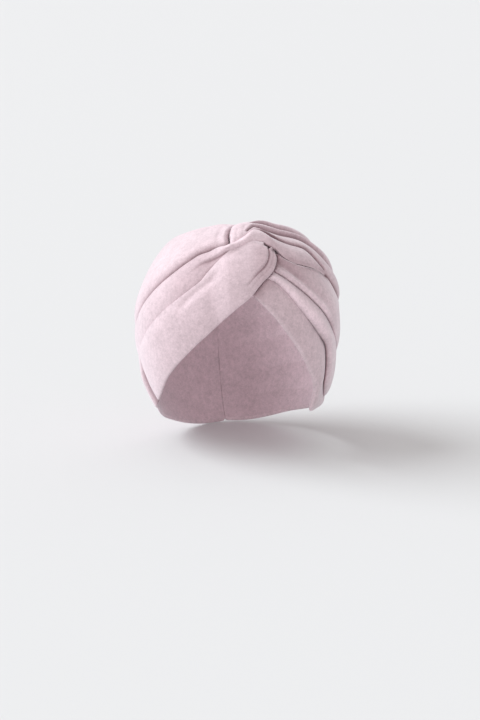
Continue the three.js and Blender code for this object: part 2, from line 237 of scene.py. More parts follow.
# %% Where the left half's lower prong covers the right half
SLIT_END = 14.8
TONGUE_END = -11.1
STRIP_TIP = 47
COVER_NEAR, COVER_FAR, COVER_MARGIN = 0.7, 2.6, 6
PRONG_STEP, TONGUE_STEP = 0.35, 0.12
FAR_AWAY = 1e9


def prong_span(across):
    """Low and high edge of the left half's lower prong."""
    past_tongue = across > -TONGUE_END
    lower = np.where(past_tongue, along(LEFT, "middle", -across), along(LEFT, "low", -across))
    return lower, along(LEFT, "slit", -across)


def nearest(edge, across, rise):
    """Distance in millimetres to the nearest point of an edge."""
    here = place(across, rise, WALL)
    flat = here.reshape(-1, 3)
    best = np.full(len(flat), FAR_AWAY)
    for point in edge:
        best = np.minimum(best, ((flat - point) ** 2).sum(1))
    return np.sqrt(best).reshape(here.shape[:-1])


edge_across = np.arange(-SLIT_END, STRIP_TIP, PRONG_STEP)
prong_edge = np.concatenate([place(edge_across, rise, WALL) for rise in prong_span(edge_across)])
tongue_across = np.arange(-SLIT_END, -TONGUE_END, TONGUE_STEP)
tongue_edge = place(tongue_across, along(LEFT, "low", -tongue_across), WALL)


def covered(across, rise):
    """1 under the lower prong, 0 clear of it."""
    across, rise = np.broadcast_arrays(across, rise)
    result = np.zeros(across.shape)
    close = (across > -SLIT_END - COVER_MARGIN) & (across < STRIP_TIP + COVER_MARGIN)
    low, high = prong_span(across)
    inside = (across > -SLIT_END) & (across < STRIP_TIP) & (rise > low) & (rise < high)
    beside = nearest(prong_edge, across[close], rise[close])
    result[close] = 1 - ease(beside, COVER_NEAR, COVER_FAR)
    result[inside] = 1
    return result


print("prong edge:", len(prong_edge), "points; tongue edge:", len(tongue_edge), "points")

# %% Where the right half's tip covers the left half
RIGHT_END = -12.8
TIP_REACH, TIP_STEP, TIP_END_POINTS = 14, 0.3, 12
tip_turns = np.arange(RIGHT_END, TIP_REACH, TIP_STEP)
tip_low, tip_high = along(RIGHT, "slit", RIGHT_END), along(RIGHT, "crown", RIGHT_END)
tip_end = np.linspace(tip_low, tip_high, TIP_END_POINTS)
tip_edge = np.concatenate([
    place(tip_turns, along(RIGHT, "crown", tip_turns), WALL), place(RIGHT_END, tip_end, WALL)])


def beside_tip(across, rise):
    """Distance in millimetres from the tip's edge, and 0 under the tip."""
    under = (across > RIGHT_END) & (rise < along(RIGHT, "crown", across))
    return np.where(under, 0, nearest(tip_edge, across, rise))


print("tip edge:", len(tip_edge), "points")

# %% [markdown]
# ## Pleats
#
# A pleat is a roll of cloth between two fold lines. Its profile rises from one edge to a
# crest and falls to the other edge. The edge that lies on top ends high, and the one that
# dives under its neighbour ends low. The shape could be sculpted by hand, but a profile
# with named heights gives the same roll all along the pleat and can be changed at once.

# %% Pleat profiles


def pleat(lower, upper, rows, peak, fall=1, **edges):
    """A roll between two fold lines; its peak is the crest's share of the way up."""
    return {"from": lower, "to": upper, "rows": rows, "peak": peak, "fall": fall, **edges}


LEFT_PLEATS = [
    pleat("low", "middle", 56, 0.72, low_edge=0.4, crest=1.9),
    pleat("middle", "slit", 30, 0.55),
    pleat("slit", "crown", 44, 0.22, fall=2.4, high_edge=0.6),
]
RIGHT_PLEATS = [
    pleat("low", "first", 26, 0.35, low_edge=0.6, crest=1.6, high_edge=-1.4),
    pleat("first", "second", 24, 0.24, low_edge=1.1, crest=3.2, high_edge=-1.4),
    pleat("second", "slit", 36, 0.4, low_edge=1.0, crest=3.4, high_edge=0.6),
    pleat("slit", "fourth", 24, 0.5, low_edge=-2.1, high_edge=-0.8),
    pleat("fourth", "fifth", 26, 0.42, low_edge=-1.4, high_edge=0.2),
    pleat("fifth", "crown", 24, 0.48, low_edge=-1.6, high_edge=0.4),
]
DIVE_GAP, DIVE_DEPTH, DIVE_MOST = 2.0, 1.2, 0.6
ROUND_RISE, ROUND_MOST = 5, 0.8
LEAST_WIDTH = 0.1
SHADE_FROM, SHADE_RANGE = 1.2, 3.5
NARROW_FADE, WIDE_FADE = 1.5, 3


def low_flank(s, form, low_edge, crest, width):
    """Rise from a pleat's low edge, 0, to its crest, 1; a flank that starts deep is rounder."""
    dives = np.clip(-np.asarray(low_edge, float) / DIVE_DEPTH, 0, 1)
    hidden = np.minimum(DIVE_GAP * dives / np.maximum(width, LEAST_WIDTH), DIVE_MOST * form["peak"])
    x = np.clip((s - hidden) / (form["peak"] - hidden), 0, 1)
    roundness = np.clip((crest - low_edge) / ROUND_RISE, 0, ROUND_MOST)
    return mix(np.sin(0.5 * np.pi * x), quarter(x), roundness)


def roll(s, form, low_edge, high_edge, crest, width):
    """Height along a pleat."""
    peak = form["peak"]
    up = low_flank(s, form, low_edge, crest, width)
    down = np.cos(0.5 * np.pi * np.clip((s - peak) / (1 - peak), 0, 1)) ** form["fall"]
    return np.where(s < peak, mix(low_edge, crest, up), mix(high_edge, crest, down))


def fold_shade(s, form, low_edge, crest, width, wide=0):
    """How deep in a fold a point lies: 1 at the foot of a pleat's low side, 0 at its crest."""
    deep = np.clip((crest - low_edge - SHADE_FROM) / SHADE_RANGE, 0, 1)
    up = low_flank(s, form, low_edge, crest, width)
    return deep * mix((1 - up) ** NARROW_FADE, 1 - up ** WIDE_FADE, wide)


MM_PER_DEGREE = 1.43


def pleat_width(folds, form, turn):
    """Millimetres from one fold line to the next."""
    return MM_PER_DEGREE * np.abs(along(folds, form["to"], turn) - along(folds, form["from"], turn))


print("pleats:", len(LEFT_PLEATS), "left and", len(RIGHT_PLEATS), "right")

# %% [markdown]
# ## Dents, ripples and gathers
#
# Real cloth is never as even as a formula. A dent follows a short line on the cloth and
# fades away from it. A ripple is a sum of a few slow waves whose phases come from a seeded
# generator, so every run gives the same cloth. Ripples nudge heights by parts of a
# millimetre, dents by up to two or three.

# %% Dents along a line
DENT_STARTS, DENT_ENDS = (0, 0.25), (0.7, 1)


def dent(across, rise, line, depth, width):
    """Depth of a dent: full along its line, less towards its ends and sides."""
    x, y = across * MM_PER_DEGREE * np.cos(np.radians(rise)), rise * MM_PER_DEGREE
    px = np.array([a * MM_PER_DEGREE * np.cos(np.radians(r)) for a, r in line])
    py = np.array([r * MM_PER_DEGREE for a, r in line])
    run = np.concatenate([[0], np.cumsum(np.hypot(np.diff(px), np.diff(py)))])
    best, where = np.full(np.shape(x), FAR_AWAY), np.zeros(np.shape(x))
    for k in range(len(line) - 1):
        dx, dy = px[k + 1] - px[k], py[k + 1] - py[k]
        t = np.clip(((x - px[k]) * dx + (y - py[k]) * dy) / (dx * dx + dy * dy), 0, 1)
        far = np.hypot(x - px[k] - t * dx, y - py[k] - t * dy)
        where = np.where(far < best, run[k] + t * (run[k + 1] - run[k]), where)
        best = np.minimum(best, far)
    share = where / run[-1]
    return depth * between(share, DENT_STARTS, DENT_ENDS) * np.exp(-((best / width) ** 2))


print("a dent is", np.round(dent(5, 0, [(0, 0), (10, 0)], 1, 2), 2), "deep on the middle of its line")

# %% Slow ripples
ROUND_RATES, UP_RATES, PHASES = (0.06, 0.22), (0.1, 0.42), (0, 6.28)
WAVE_COUNT, WAVE_SEED = 9, 7
rng = np.random.default_rng(WAVE_SEED)
WAVES = [[rng.uniform(*span) for span in (ROUND_RATES, UP_RATES, PHASES)] for _ in range(WAVE_COUNT)]


def ripple(turn, rise):
    """Slow waves between -1 and 1."""
    total = 0
    for k, (round_rate, up_rate, phase) in enumerate(WAVES):
        slant = up_rate if k % 2 else -up_rate
        total = total + np.sin(round_rate * turn + slant * rise + phase)
    return total / len(WAVES)


print("ripple waves:", len(WAVES))

# %% [markdown]
# ## The left half
#
# Its wide lower panel ends in the tongue, whose tip shows nested rims. The middle pleat
# runs on past the tongue as the strip and ends in a leaf. The upper pleat ends in a rolled
# rim beside the twist. The tables say how high each pleat's edges and crest stand on the
# way round, and how bright each part is: partly the brushed nap, partly painted light and
# shade. Each part then gets its height above the form, and its painted shade, from one function.

# %% Edges of the left half, and its nap with painted light
LEFT_EDGES = table("turn panel_top middle_low middle_crest middle_top upper_low upper_crest", [
    (180, 0.4, 0, 2.0, 0.6, -0.3, 1.6),
    (110, 0.9, 0.3, 1.5, 1.2, -1.1, 2.5),
    (80, 0.9, 0.3, 1.6, 1.3, -1.2, 2.8),
    (60, 0.9, 0.2, 1.6, 1.2, -1.1, 3.0),
    (43, 0.6, 0.3, 1.7, 1.0, -1.0, 3.2),
    (36, 0.5, 0.3, 1.8, 1.0, -1.0, 3.3),
    (29, 0.4, 0.3, 2.1, 1.0, -1.0, 3.4),
    (22, 0.4, 0.3, 2.3, 1.0, -1.2, 3.6),
    (17, 0.5, 0.3, 2.3, 1.1, -1.5, 3.9),
    (14, 0.6, 0.2, 2.2, 1.2, -1.8, 4.2),
    (9, 0.9, 0.2, 2.3, 1.5, -2.2, 4.6),
    (2, 0.8, 0.6, 2.5, 1.5, -2.0, 3.0),
    (-3, -0.6, 0.9, 2.5, 0.8, -2.0, 3.0),
    (-12, -1.6, 0.4, 1.4, -0.6, -2.0, 3.0),
    (-22, -1.6, -1.4, 0.6, -1.0, -2.0, 3.0),
    (-32, -1.6, -1.7, 0.2, -1.2, -2.0, 3.0),
    (-47, -1.6, -1.8, -0.8, -1.5, -2.0, 3.0),
])
# Brightness of each part round the band: partly the brushed nap, partly painted light and shade.
LEFT_NAP_AND_PAINTED_LIGHT = table("turn panel middle", [
    (180, 1.0, 0.95),
    (80, 1.0, 0.98),
    (55, 1.0, 0.97),
    (40, 0.99, 0.86),
    (25, 0.98, 0.86),
    (15, 1.05, 1.12),
    (5, 1.0, 1.26),
    (-2, 0.87, 1.08),
    (-11, 0.86, 0.83),
    (-30, 0.9, 0.97),
    (-47, 0.9, 0.88),
])
print("left half:", len(LEFT_EDGES["turn"]), "cuts with edge heights")

# %% Rims of the tongue
TONGUE_NEAR = (-2, 9)
TONGUE_RIMS = [
    {"at": 6.3, "depth": 1.4, "width": 0.6, "shade": 0.7},
    {"at": 2.9, "depth": 0.3, "width": 0.7, "shade": 0.2},
]
TONGUE_SWELL, TONGUE_SWELL_SPAN = 1.2, (5.9, 8.3)


def tongue(turn, rise):
    """Change of height, and shade, of the grooves that follow the tongue's edge."""
    inward = nearest(tongue_edge, -turn, rise)
    near = 1 - ease(turn, *TONGUE_NEAR)
    relief = near * TONGUE_SWELL * ease(inward, *TONGUE_SWELL_SPAN)
    shade = 0
    for rim in TONGUE_RIMS:
        groove = near * bump(inward, rim["at"], rim["width"])
        relief = relief - rim["depth"] * groove
        shade = shade + rim["shade"] * groove
    return relief, shade


print("tongue:", len(TONGUE_RIMS), "grooves")

# %% Dents of the lower panel
HOLES_UNDER_STRIP = [
    [(5.2, 16.9), (6.6, 15.9), (8.9, 13.9)],
    [(8.8, 14), (10.6, 12.2), (12.4, 10.4), (14.4, 8.4)],
]
HOLE_DEPTH, HOLE_WIDTH, HOLE_SHADE = 2.6, 3.0, 1.1
PANEL_DENT = [(-16, 2), (-21, 0.2), (-27.7, -3.8), (-33.7, -6.6), (-40.5, -10.2), (-47, -15)]
PANEL_DENT_DEPTH, PANEL_DENT_WIDTH = 1.5, 3.4
TUCK = [(-96, -20), (-100, -29), (-102, -37), (-103, -45), (-104, -56)]
TUCK_DEPTH, TUCK_WIDTH, TUCK_SHADE = 1.8, 1.8, 1.0
TUCK_LIP_BEHIND, TUCK_LIP_HEIGHT, TUCK_LIP_WIDTH = 5, 2.0, 3.5
TUCK_LIP = [(across - TUCK_LIP_BEHIND, rise) for across, rise in TUCK]


def panel_dents(turn, rise):
    """Holes under the strip, the long soft dent, and the tuck at the side with its lip; shade is painted
    in the holes and the tuck.
    """
    hole = sum(dent(-turn, rise, line, 1, HOLE_WIDTH) for line in HOLES_UNDER_STRIP)
    tuck = dent(-turn, rise, TUCK, 1, TUCK_WIDTH)
    relief = -HOLE_DEPTH * hole - TUCK_DEPTH * tuck
    relief = relief - dent(-turn, rise, PANEL_DENT, PANEL_DENT_DEPTH, PANEL_DENT_WIDTH)
    relief = relief + dent(-turn, rise, TUCK_LIP, TUCK_LIP_HEIGHT, TUCK_LIP_WIDTH)
    return relief, HOLE_SHADE * hole + TUCK_SHADE * tuck


print("panel: the tuck is", np.round(-panel_dents(102.0, -37.0)[0], 1), "mm deep")

# %% The pressed line of the middle pleat
PRESS_LINE = table("turn rise", [
    (45, 0), (38.3, 4.1), (35.7, 5.7), (32.1, 7.6), (28, 9.5), (23, 10.3), (17.6, 11.4), (12.7, 13.4)])
PRESS_DEPTH, PRESS_EDGE, PRESS_BACK = 1.8, (-0.4, 2.0), 0.75
PRESS_SHADE, PRESS_SHADE_EDGE, PRESS_FADE = 0.75, (-0.2, 0.9), 2.6
PRESS_COMES, PRESS_GOES = (12, 16), (22, 38)
LEAST_SPAN = 0.2


def pressed(turn, rise):
    """Change of height, and shade, below a line where the cloth is pressed in."""
    line, foot = along(PRESS_LINE, "rise", turn), along(LEFT, "middle", turn)
    above = MM_PER_DEGREE * (rise - line)
    below_share = ease((line - rise) / np.maximum(line - foot, LEAST_SPAN), 0, 1)
    strong = between(turn, PRESS_COMES, PRESS_GOES)
    deep = PRESS_DEPTH * (1 - PRESS_BACK * below_share) * (1 - ease(above, *PRESS_EDGE))
    dark = PRESS_SHADE * np.exp(np.minimum(above, 0) / PRESS_FADE)
    return -strong * deep, strong * dark * (1 - ease(above, *PRESS_SHADE_EDGE))


print("pressed line:", len(PRESS_LINE["turn"]), "points")

# %% Heights of the left half's lower prong
CROSSES = (14, 26)
LEAF_PRESS, LEAF_PRESS_SPAN = 1.3, (9, 17)
LEAF_TUCK, LEAF_TUCK_SPAN, LEAF_TUCK_WIDTH = 0.25, (10, 22), (0, 0.2)
RIPPLE, LEFT_RIPPLE_SPAN = 0.4, (12, 40)
HOLLOW_SHARE = 0.6
THINNEST = 0.4
# How much painted shade darkens the colour in a fold.
PAINTED_SHADE_STRENGTH = 0.6


def wall_at(floor, hollow, relief):
    """Heights of the cloth's underside and top."""
    return floor + hollow, floor + np.maximum(WALL + relief, hollow + THINNEST)


def left_lower(turn, rise, form, s):
    """Underside, top, and nap with painted light and shade, of the panel with its tongue, or of the
    strip.
    """
    strip = form["from"] == "middle"
    over = 1 - ease(turn, *CROSSES)
    rest = FORM_GAP + stand_off(LEFT_OFF, LEFT, turn, rise)
    crossed = right_floor(-turn, rise) + WALL + LAYER_GAP
    floor = mix(rest, crossed - LEAF_PRESS * ease(-turn, *LEAF_PRESS_SPAN), over)
    width = pleat_width(LEFT, form, turn)
    if strip:
        floor = floor - LEAF_TUCK * ease(-turn, *LEAF_TUCK_SPAN) * (1 - ease(s, *LEAF_TUCK_WIDTH))
        low_edge, crest = along(LEFT_EDGES, "middle_low", turn), along(LEFT_EDGES, "middle_crest", turn)
        change, shade = pressed(turn, rise)
        shade = shade + fold_shade(s, form, low_edge, crest, width)
    else:
        low_edge, crest = form["low_edge"], form["crest"]
        rims, rim_shade = tongue(turn, rise)
        dents, dent_shade = panel_dents(turn, rise)
        change, shade = rims + dents, np.clip(rim_shade + dent_shade, 0, HOLE_SHADE)
    high_edge = along(LEFT_EDGES, "middle_top" if strip else "panel_top", turn)
    relief = roll(s, form, low_edge, high_edge, crest, width) + change
    relief = relief + RIPPLE * ripple(turn, rise) * ease(turn, *LEFT_RIPPLE_SPAN)
    hollow = HOLLOW_SHARE * fullness(turn) * crest * np.sin(np.pi * s) * (1 - over)
    # The nap's brightness, partly painted light, then darkened by painted shade in the folds.
    nap = along(LEFT_NAP_AND_PAINTED_LIGHT, "middle" if strip else "panel", turn)
    return (*wall_at(floor, hollow, relief), nap * (1 - PAINTED_SHADE_STRENGTH * shade))


print("left half at the side stands", np.round(left_lower(60.0, -10.0, LEFT_PLEATS[0], 0.6)[:2], 2))

# %% Heights of the left half's upper prong
RIM_RADIUS, RIM_SOFTNESS = 4.4, 0.6
RIM_AT, RIM_DIP_AT, RIM_HEIGHT, RIM_WIDTH = 4.2, 8.82, 0.7, 1.5
PRONG_SINK, PRONG_SINK_SPAN = 1.6, (0, 2)
CORNER_FULLNESS, CORNER_SPAN = 1.4, (15, 30)
UPPER_RIPPLE, UPPER_RIPPLE_SPAN = 0.35, (16, 40)
UPPER_HOLLOW_SPAN = (20, 26)
UPPER_SHADE = 0.8


def left_upper(turn, rise, form, s):
    """Underside, top and painted shade of the upper pleat."""
    floor = FORM_GAP + stand_off(LEFT_OFF, LEFT, turn, rise)
    beside = beside_tip(-turn, rise)
    freed = np.clip(beside / RIM_RADIUS, 0, 1)
    open_share = mix(quarter(freed), np.sin(0.5 * np.pi * freed), RIM_SOFTNESS)
    low_edge, crest = along(LEFT_EDGES, "upper_low", turn), along(LEFT_EDGES, "upper_crest", turn)
    high_edge = form["high_edge"] + CORNER_FULLNESS * (1 - ease(turn, *CORNER_SPAN))
    width = pleat_width(LEFT, form, turn)
    relief = fullness(turn) * open_share * roll(s, form, low_edge, high_edge, crest, width)
    relief = relief - PRONG_SINK * (1 - ease(beside, *PRONG_SINK_SPAN))
    hollow = np.maximum(HOLLOW_SHARE * relief * ease(turn, *UPPER_HOLLOW_SPAN), 0)
    rim = RIM_HEIGHT * (bump(beside, RIM_AT, RIM_WIDTH) - bump(beside, RIM_DIP_AT, RIM_WIDTH))
    ripples = UPPER_RIPPLE * ripple(turn, rise) * ease(turn, *UPPER_RIPPLE_SPAN)
    relief = relief + (rim + ripples) * np.sin(np.pi * s)
    shade = np.maximum(UPPER_SHADE * fold_shade(s, form, low_edge, crest, width), 1 - open_share)
    return (*wall_at(floor, hollow, relief), 1 - PAINTED_SHADE_STRENGTH * shade)


def left_heights(turn, rise, form, s):
    return (left_upper if form["from"] == "slit" else left_lower)(turn, rise, form, s)


print("its upper pleat stands", np.round(left_heights(60.0, 20.0, LEFT_PLEATS[2], 0.4)[:2], 2))

# %% [markdown]
# ## The right half
#
# Six pleats run from the back to the twist and are drawn together there. The rounded tip
# slips over the left half's upper prong and swells above the strip. Its edges change on the
# way round: a pleat that stands up crisply beside the twist lies softer at the side. A
# small table of changes is easier to read and to alter than a formula for every pleat.

# %% The tip of the right half
TIP_BULGE, TIP_ROUND, TIP_FADES = 3.2, 7.0, (-1, 7)
TIP_GATHERS = [[(-8.8, 19), (-8.2, 25), (-6.6, 32)], [(-5, 22), (-4, 27), (-1.8, 32.5)]]
GATHER_DEPTH, GATHER_WIDTH = 0.3, 1.0
TIP_CREASE = [(-3.6, 24.4), (-1, 27.2), (1.6, 29.8), (4, 32)]
CREASE_DEPTH, CREASE_WIDTH = 2.0, 0.9
PAST_STRIP = (-0.9, 0.5)


def tip_swell(turn, rise):
    """Height of the swelling tip, and how far a point lies in its crease."""
    past_strip = ease(rise - along(LEFT, "slit", -turn), *PAST_STRIP)
    full = (1 - ease(turn, *TIP_FADES)) * past_strip
    swell = TIP_BULGE * full * quarter(nearest(tip_edge, turn, rise) / TIP_ROUND)
    for line in TIP_GATHERS:
        swell = swell - full * dent(turn, rise, line, GATHER_DEPTH, GATHER_WIDTH)
    crease = past_strip * dent(turn, rise, TIP_CREASE, 1, CREASE_WIDTH)
    return swell - CREASE_DEPTH * crease, crease


print("tip swells by", np.round(tip_swell(-6.0, 25.0)[0], 1), "mm")

# %% Edges of the right half's pleats
RIGHT_CRESTS = table("turn slit fourth fifth", [
    (180, 1.75, 1.55, 1.35),
    (90, 1.75, 1.55, 1.35),
    (74, 1.9, 2.3, 1.9),
    (58, 2.7, 2.8, 2.3),
    (44, 2.4, 2.7, 2.4),
    (34, 2.2, 2.7, 2.7),
    (26, 2.0, 2.8, 3.0),
    (18, 2.0, 2.8, 3.1),
    (10, 2.6, 2.6, 2.6),
    (-12.8, 4.0, 2.6, 2.2),
])
NEAR_SIDE, AT_SIDE = (46, 70), (45, 68)
EDGE_CHANGES = {
    "low": [("high_edge", 0.6, None, (16, 40))],
    "first": [("low_edge", 0.4, None, (18, 40)), ("high_edge", None, 0.2, NEAR_SIDE)],
    "second": [("low_edge", None, 0.6, NEAR_SIDE), ("crest", None, 2.2, NEAR_SIDE)],
    "fourth": [("low_edge", None, -0.3, AT_SIDE)],
    "fifth": [("low_edge", None, -0.3, AT_SIDE)],
}


def right_edges(turn, form):
    """Heights of a pleat's low edge, crest and high edge; None keeps the pleat's own height."""
    name, height = form["from"], dict(form)
    if name in RIGHT_CRESTS:
        height["crest"] = along(RIGHT_CRESTS, name, turn)
    for edge, at_twist, at_back, span in EDGE_CHANGES.get(name, []):
        start = height[edge] if at_twist is None else at_twist
        end = height[edge] if at_back is None else at_back
        height[edge] = mix(start, end, ease(turn, *span))
    return height["low_edge"], height["crest"], height["high_edge"]


print("edges change on", len(EDGE_CHANGES), "pleats")

# %% [markdown]
# ## Painted shade in the grooves
#
# Where a pleat dives under another, little light gets in and the pile looks almost brown.
# Light alone leaves such narrow grooves too pale here, because the pile in them, which
# swallows light, is not built hair by hair. So shade is also painted into each point's
# colour: the deeper it lies beside an edge, the darker.

# %% Shade beside the edges of the right half
LAP_SHADE = {"low": 0.75, "first": 0.15, "second": 0.85}
LAP_REACH, LAP_FADES, LAP_LOST = 6.0, (18, 36), 0.7
GROOVE_SHADE, GROOVE_SPAN, GROOVE_COMES = 1.1, (1.5, 2.9), (3, 9)
GROOVE_FLARE, GROOVE_FLARE_AT = 1.0, (10.5, 4)
SIDE_GROOVE_SPAN, SIDE_GROOVE_AT = (2.8, 5.4), ((44, 49), (66, 85))
LOW_GROOVE_SHADE, LOW_GROOVE_SPAN, LOW_GROOVE_AT = 1.1, (0.8, 3.4), ((38, 48), (66, 84))
LEAF_LINE_SHADE, LEAF_LINE_SPAN, LEAF_LINE_AT = 0.75, (3.6, 5.6), ((20, 30), (48, 53))
PRONG_EVERY, TONGUE_EVERY = 3, 6
lap_edge = np.concatenate([prong_edge[::PRONG_EVERY], tongue_edge[::TONGUE_EVERY]])


def edge_shade(turn, rise, form, s, width):
    """How dark it is beside the edges that lie over the right half."""
    name, lap = form["from"], nearest(lap_edge, turn, rise)
    if name in RIGHT_CRESTS:
        near = lap / (1 + GROOVE_FLARE * bump(turn, *GROOVE_FLARE_AT))
        shade = GROOVE_SHADE * (1 - ease(near, *GROOVE_SPAN)) * ease(turn, *GROOVE_COMES)
    else:
        shade = LAP_SHADE[name] * (1 - LAP_LOST * ease(turn, *LAP_FADES)) * np.exp(-lap / LAP_REACH)
        for line in HOLES_UNDER_STRIP:
            shade = np.maximum(shade, dent(turn, rise, line, HOLE_SHADE, HOLE_WIDTH))
    groove = 0
    if name == "slit":
        groove = GROOVE_SHADE * between(turn, *SIDE_GROOVE_AT) * (1 - ease(s * width, *SIDE_GROOVE_SPAN))
    if name == "low":
        down = (1 - s) * width
        groove = LOW_GROOVE_SHADE * between(turn, *LOW_GROOVE_AT) * (1 - ease(down, *LOW_GROOVE_SPAN))
    if name == "second":
        beside = nearest(prong_edge, turn, rise)
        groove = LEAF_LINE_SHADE * between(turn, *LEAF_LINE_AT) * (1 - ease(beside, *LEAF_LINE_SPAN))
    return np.maximum(shade, groove)


print("edges that shade the right half:", len(lap_edge), "points")

# %% Nap with painted light, and painted highlights, of the right half
# Brightness of each pleat round the band: partly the brushed nap, partly painted light and shade.
RIGHT_NAP_AND_PAINTED_LIGHT = table("turn low first second slit fourth fifth", [
    (180, 1.0, 1.0, 1.0, 1.0, 1.0, 1.0),
    (60, 0.98, 1.1, 1.08, 1.0, 1.02, 1.05),
    (40, 0.95, 1.18, 0.94, 0.98, 1.03, 1.06),
    (20, 0.93, 1.24, 0.85, 0.95, 1.04, 1.07),
    (8, 0.95, 1.1, 0.8, 0.93, 1.02, 1.05),
    (0, 0.95, 1.0, 0.85, 1.1, 1.1, 1.1),
    (-12.8, 0.95, 1.0, 0.85, 1.06, 1.06, 1.06),
])
# Painted highlights: a bright line along the hem and along the ridge below the welt.
HEM_HIGHLIGHT, HEM_HIGHLIGHT_WIDTH = 0.12, 0.06
RIDGE_HIGHLIGHT, RIDGE_HIGHLIGHT_SPAN, RIDGE_HIGHLIGHT_FADES = 0.16, (0.12, 0.6), (26, 46)


def right_painted_highlight(turn, form, s):
    """Painted highlight on the hem and on the ridge below the welt."""
    if form["from"] == "low":
        return HEM_HIGHLIGHT * bump(s, 0, HEM_HIGHLIGHT_WIDTH)
    if form["from"] == "first":
        return RIDGE_HIGHLIGHT * (1 - ease(s, *RIDGE_HIGHLIGHT_SPAN)) * (1 - ease(turn, *RIDGE_HIGHLIGHT_FADES))
    return 0


print("nap of the right half:", len(RIGHT_NAP_AND_PAINTED_LIGHT["turn"]), "cuts")

# %% [markdown]
# ## Heights of the right half
#
# The wide pleat's lower edge is rolled into a thin welt with a shallow dip above it. A
# highlight is painted along the welt, and a shadow is painted on the pleat below it. All
# parts of the half meet here in one height and one value of nap and painted light for
# each point.

# %% Heights of the right half
ABOVE_COMES = (0, 7)
SIDE_DENT = [(6, 8), (9.8, 5.9), (14.3, 3.3), (20.4, -1.1), (28, -6)]
SIDE_DENT_DEPTH, SIDE_DENT_WIDTH = 2.0, 2.2
RIGHT_RIPPLE_SPAN, RIPPLE_SHIFT = (10, 40), 40
# The welt: a raised roll and a dip above it, with a painted highlight along the roll.
WELT = {
    "fades": (40, 56), "at": 1.8, "width": 2.0, "height": 0.7,
    "dip_at": 6.4, "dip_width": 2.2, "dip": 0.6,
    "clear": (3, 6), "painted_highlight": 0.35, "painted_highlight_span": (1.6, 4.6),
}
# Painted shadow on the pleat below the welt.
UNDER_WELT_SHADOW, UNDER_WELT_SPAN, UNDER_WELT_FADES = 0.5, (0.25, 1), (44, 60)
WIDE_SHADE = {"fourth": 0.2, "fifth": 0.4}


def right_heights(turn, rise, form, s):
    """Underside, top, and nap with painted light and shade, of one of the right half's pleats."""
    name = form["from"]
    under_prong = covered(turn, rise)
    shown = fullness(turn) * (1 - under_prong)
    if name in RIGHT_CRESTS:
        shown = shown * ease(turn, *ABOVE_COMES)
    low_edge, crest, high_edge = right_edges(turn, form)
    width = pleat_width(RIGHT, form, turn)
    up = s * width
    welt = shown * (name == "second") * (1 - ease(turn, *WELT["fades"]))
    swell, crease = tip_swell(turn, rise)
    relief = shown * roll(s, form, low_edge, high_edge, crest, width) + swell
    relief = relief - shown * dent(turn, rise, SIDE_DENT, SIDE_DENT_DEPTH, SIDE_DENT_WIDTH)
    relief = relief - LEAF_PRESS * under_prong * ease(turn, *LEAF_PRESS_SPAN)
    ripples = RIPPLE * ripple(turn + RIPPLE_SHIFT, rise) * ease(turn, *RIGHT_RIPPLE_SPAN)
    relief = relief + shown * ripples
    relief = relief + welt * WELT["height"] * bump(up, WELT["at"], WELT["width"])
    relief = relief - welt * WELT["dip"] * bump(up, WELT["dip_at"], WELT["dip_width"])
    hollow = HOLLOW_SHARE * shown * crest * np.sin(np.pi * s)
    # Painted shade in the folds and in the tip's crease.
    shade = shown * fold_shade(s, form, low_edge, crest, width, WIDE_SHADE.get(name, 0)) + crease
    shade = shade * (1 - welt * (1 - ease(up, *WELT["clear"])))
    # Painted shadow of the welt on the pleat below it.
    if name == "first":
        shade = shade + UNDER_WELT_SHADOW * ease(s, *UNDER_WELT_SPAN) * (1 - ease(turn, *UNDER_WELT_FADES))
    shade = np.clip(np.maximum(shade, edge_shade(turn, rise, form, s, width)), 0, HOLE_SHADE)
    # Nap brightness darkened by painted shade, plus painted highlights on the hem, the ridge and the
    # welt.
    nap_and_painted_light = along(RIGHT_NAP_AND_PAINTED_LIGHT, name, turn) * (1 - PAINTED_SHADE_STRENGTH * shade) + right_painted_highlight(turn, form, s)
    nap_and_painted_light = nap_and_painted_light + WELT["painted_highlight"] * welt * (1 - ease(up, *WELT["painted_highlight_span"]))
    return (*wall_at(right_floor(turn, rise), hollow, relief), nap_and_painted_light)


print("right half at the side stands", np.round(right_heights(60.0, -10.0, RIGHT_PLEATS[2], 0.6)[:2], 2))

# %% [markdown]
# ## From pleats to a cloth wall
#
# Every pleat becomes rows of points, and between two pleats the upper one rolls over in a
# half circle before the cloth drops under it. That small overhang makes the line of a fold
# from every side, so it is real geometry, and painted shade only deepens it. The two outer
# edges are rolled the same way, from the top of the cloth to its underside. A subdivision
# surface over a coarse grid would round the folds too, but it would also round away the overhang.

# %% Rows of one half
ROLL_RADIUS, ROLL_SHARE, ROLL_LEAST = 1.25, 0.47, 0.01
ROLL_ROWS = 7
DARK_STEP = 2
BACK = 180
INSET = 0.05
DROP_MOST = 0.8


def spaced(count):
    """Shares from 0 to 1, closer together at both ends."""
    t = np.linspace(0, 1, count)
    return 0.5 * t + 0.25 * (1 - np.cos(np.pi * t))


def fold_over(line, below, above):
    """Rows that round the step at a fold line; the higher side rolls over the lower one."""
    step = below - above
    radius = np.minimum(ROLL_RADIUS, ROLL_SHARE * np.abs(step)) + ROLL_LEAST
    rows = []
    for k in range(ROLL_ROWS):
        share = (k + 0.5) / ROLL_ROWS
        angle = np.pi * np.where(step > 0, share, 1 - share)
        lean = np.where(step > 0, 1, -1) * radius * np.sin(angle) / MM_PER_DEGREE
        height = np.maximum(below, above) - radius + radius * np.cos(angle)
        shade = np.clip(np.abs(step) / DARK_STEP, 0, 1) * (0.5 - 0.5 * np.cos(angle))
        rows.append((line + lean, height, shade))
    return rows


